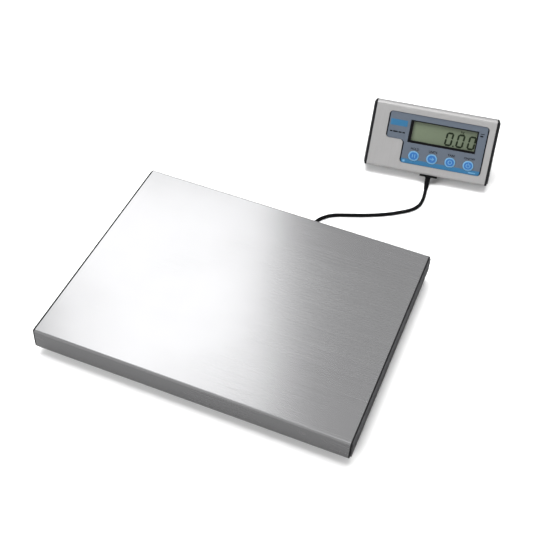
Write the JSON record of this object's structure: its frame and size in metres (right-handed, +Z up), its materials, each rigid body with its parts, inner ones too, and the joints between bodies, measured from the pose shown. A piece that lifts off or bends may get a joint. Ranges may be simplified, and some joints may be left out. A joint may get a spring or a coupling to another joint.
{
  "type": "platform shipping scale",
  "caption": "Low bench scale with a flat stainless weighing platform and a separate tilted digital display on a short lead.",
  "frame": {"origin": "on the bench, at the middle of the rectangle that the platform and the display cover together, the lead left out", "axes": "+X to the right along the platform's 380 mm side, +Y to the back, from the platform towards the display, +Z up"},
  "size_m": [0.4095, 0.5642, 0.088],
  "materials": {
    "black_steel": "semi-gloss black powder coat",
    "zinc_steel": "bright zinc plate",
    "cell_aluminium": "milled, clear anodised",
    "frame_steel": "grey primer on pressed steel",
    "stainless": "brushed stainless, grain along the width",
    "trim_black": "fine-textured black moulding",
    "foot_rubber": "matt black rubber",
    "silver_housing": "satin silver anodised",
    "grey_housing": "dark grey moulding",
    "black_screw": "black oxide",
    "label_film": "satin polyester film, grey-blue with a blue band",
    "black_moulding": "satin black",
    "lcd": "grey-green polariser, satin",
    "light_guide": "milky diffuser",
    "circuit_board": "green solder mask",
    "key_blue": "mid blue cap with a light blue rim",
    "battery_jacket": "plain dark jacket",
    "lead_pvc": "satin black PVC"
  },
  "bodies": {
    "base": {"base_tray": "black_steel", "tray_ribs": "black_steel", "foot_bushes": "zinc_steel", "overload_stops": "zinc_steel", "cell_spacer_lower": "zinc_steel", "cell_bolts_lower": "zinc_steel", "load_cell": "cell_aluminium", "cell_lead": "lead_pvc", "base_gland": "black_moulding", "lead": "lead_pvc", "front_shell": "silver_housing", "back_shell": "grey_housing", "end_cap_left": "trim_black", "end_cap_right": "trim_black", "case_screws": "black_screw", "label": "label_film", "lcd_frame": "black_moulding", "lcd_glass": "lcd", "lcd_backlight": "light_guide", "display_board": "circuit_board", "board_screws": "zinc_steel", "tact_switches": "black_moulding", "battery": "battery_jacket", "battery_clip": "black_moulding", "battery_door": "grey_housing", "door_screw": "black_screw", "power_socket": "black_moulding", "gland_plate": "black_moulding", "gland_screws": "black_screw", "strain_relief": "lead_pvc", "display_feet": "foot_rubber", "stand_pin": "zinc_steel"},
    "platform": {"cell_spacer_upper": "zinc_steel", "cell_bolts_upper": "zinc_steel", "upper_frame": "frame_steel", "upper_rails": "frame_steel", "cover_pads": "foot_rubber", "top_cover": "stainless", "side_trim_left": "trim_black", "side_trim_right": "trim_black"},
    "foot_front_left": {"foot_pad_front_left": "foot_rubber"},
    "stem_front_left": {"foot_stem_front_left": "zinc_steel"},
    "foot_front_right": {"foot_pad_front_right": "foot_rubber"},
    "stem_front_right": {"foot_stem_front_right": "zinc_steel"},
    "foot_back_left": {"foot_pad_back_left": "foot_rubber"},
    "stem_back_left": {"foot_stem_back_left": "zinc_steel"},
    "foot_back_right": {"foot_pad_back_right": "foot_rubber"},
    "stem_back_right": {"foot_stem_back_right": "zinc_steel"},
    "hold_key": {"key_hold": "key_blue"},
    "units_key": {"key_units": "key_blue"},
    "tare_key": {"key_tare": "key_blue"},
    "power_key": {"key_power": "key_blue"},
    "stand": {"stand_leg": "grey_housing", "stand_tip": "foot_rubber"}
  },
  "joints": [
    {"name": "platform_travel", "type": "slide", "parent": "base", "child": "platform", "axis": [0, 0, -1], "range_m": [0, 0.001], "stiffness_N_per_m": 588000, "springref_m": -0.0001, "deforming": ["load_cell"]},
    {"name": "foot_front_left_height", "type": "slide", "parent": "base", "child": "foot_front_left", "axis": [0, 0, -1], "range_m": [-0.0005, 0.008]},
    {"name": "stem_front_left_turn", "type": "hinge", "parent": "foot_front_left", "child": "stem_front_left", "pos_m": [-0.151, -0.233, 0.006], "axis": [0, 0, -1], "range_deg": [-146, 2308]},
    {"name": "foot_front_right_height", "type": "slide", "parent": "base", "child": "foot_front_right", "axis": [0, 0, -1], "range_m": [-0.0005, 0.008]},
    {"name": "stem_front_right_turn", "type": "hinge", "parent": "foot_front_right", "child": "stem_front_right", "pos_m": [0.121, -0.233, 0.006], "axis": [0, 0, -1], "range_deg": [-146, 2308]},
    {"name": "foot_back_left_height", "type": "slide", "parent": "base", "child": "foot_back_left", "axis": [0, 0, -1], "range_m": [-0.0005, 0.008]},
    {"name": "stem_back_left_turn", "type": "hinge", "parent": "foot_back_left", "child": "stem_back_left", "pos_m": [-0.151, -0.031, 0.006], "axis": [0, 0, -1], "range_deg": [-146, 2308]},
    {"name": "foot_back_right_height", "type": "slide", "parent": "base", "child": "foot_back_right", "axis": [0, 0, -1], "range_m": [-0.0005, 0.008]},
    {"name": "stem_back_right_turn", "type": "hinge", "parent": "foot_back_right", "child": "stem_back_right", "pos_m": [0.121, -0.031, 0.006], "axis": [0, 0, -1], "range_deg": [-146, 2308]},
    {"name": "hold_key_press", "type": "slide", "parent": "base", "child": "hold_key", "axis": [-0.1312, 0.8283, -0.5446], "range_m": [0, 0.0005], "stiffness_N_per_m": 3000, "springref_m": -0.0001},
    {"name": "units_key_press", "type": "slide", "parent": "base", "child": "units_key", "axis": [-0.1312, 0.8283, -0.5446], "range_m": [0, 0.0005], "stiffness_N_per_m": 3000, "springref_m": -0.0001},
    {"name": "tare_key_press", "type": "slide", "parent": "base", "child": "tare_key", "axis": [-0.1312, 0.8283, -0.5446], "range_m": [0, 0.0005], "stiffness_N_per_m": 3000, "springref_m": -0.0001},
    {"name": "power_key_press", "type": "slide", "parent": "base", "child": "power_key", "axis": [-0.1312, 0.8283, -0.5446], "range_m": [0, 0.0005], "stiffness_N_per_m": 3000, "springref_m": -0.0001},
    {"name": "stand_fold", "type": "hinge", "parent": "base", "child": "stand", "pos_m": [0.11123, 0.24942, 0.0476], "axis": [0.9877, 0.1564, 0], "range_deg": [-63.5, 0]}
  ],
  "couplings": [
    {"joint": "stem_front_left_turn", "follows": "foot_front_left_height", "rad_per_m": 5026.5},
    {"joint": "stem_front_right_turn", "follows": "foot_front_right_height", "rad_per_m": 5026.5},
    {"joint": "stem_back_left_turn", "follows": "foot_back_left_height", "rad_per_m": 5026.5},
    {"joint": "stem_back_right_turn", "follows": "foot_back_right_height", "rad_per_m": 5026.5}
  ]
}
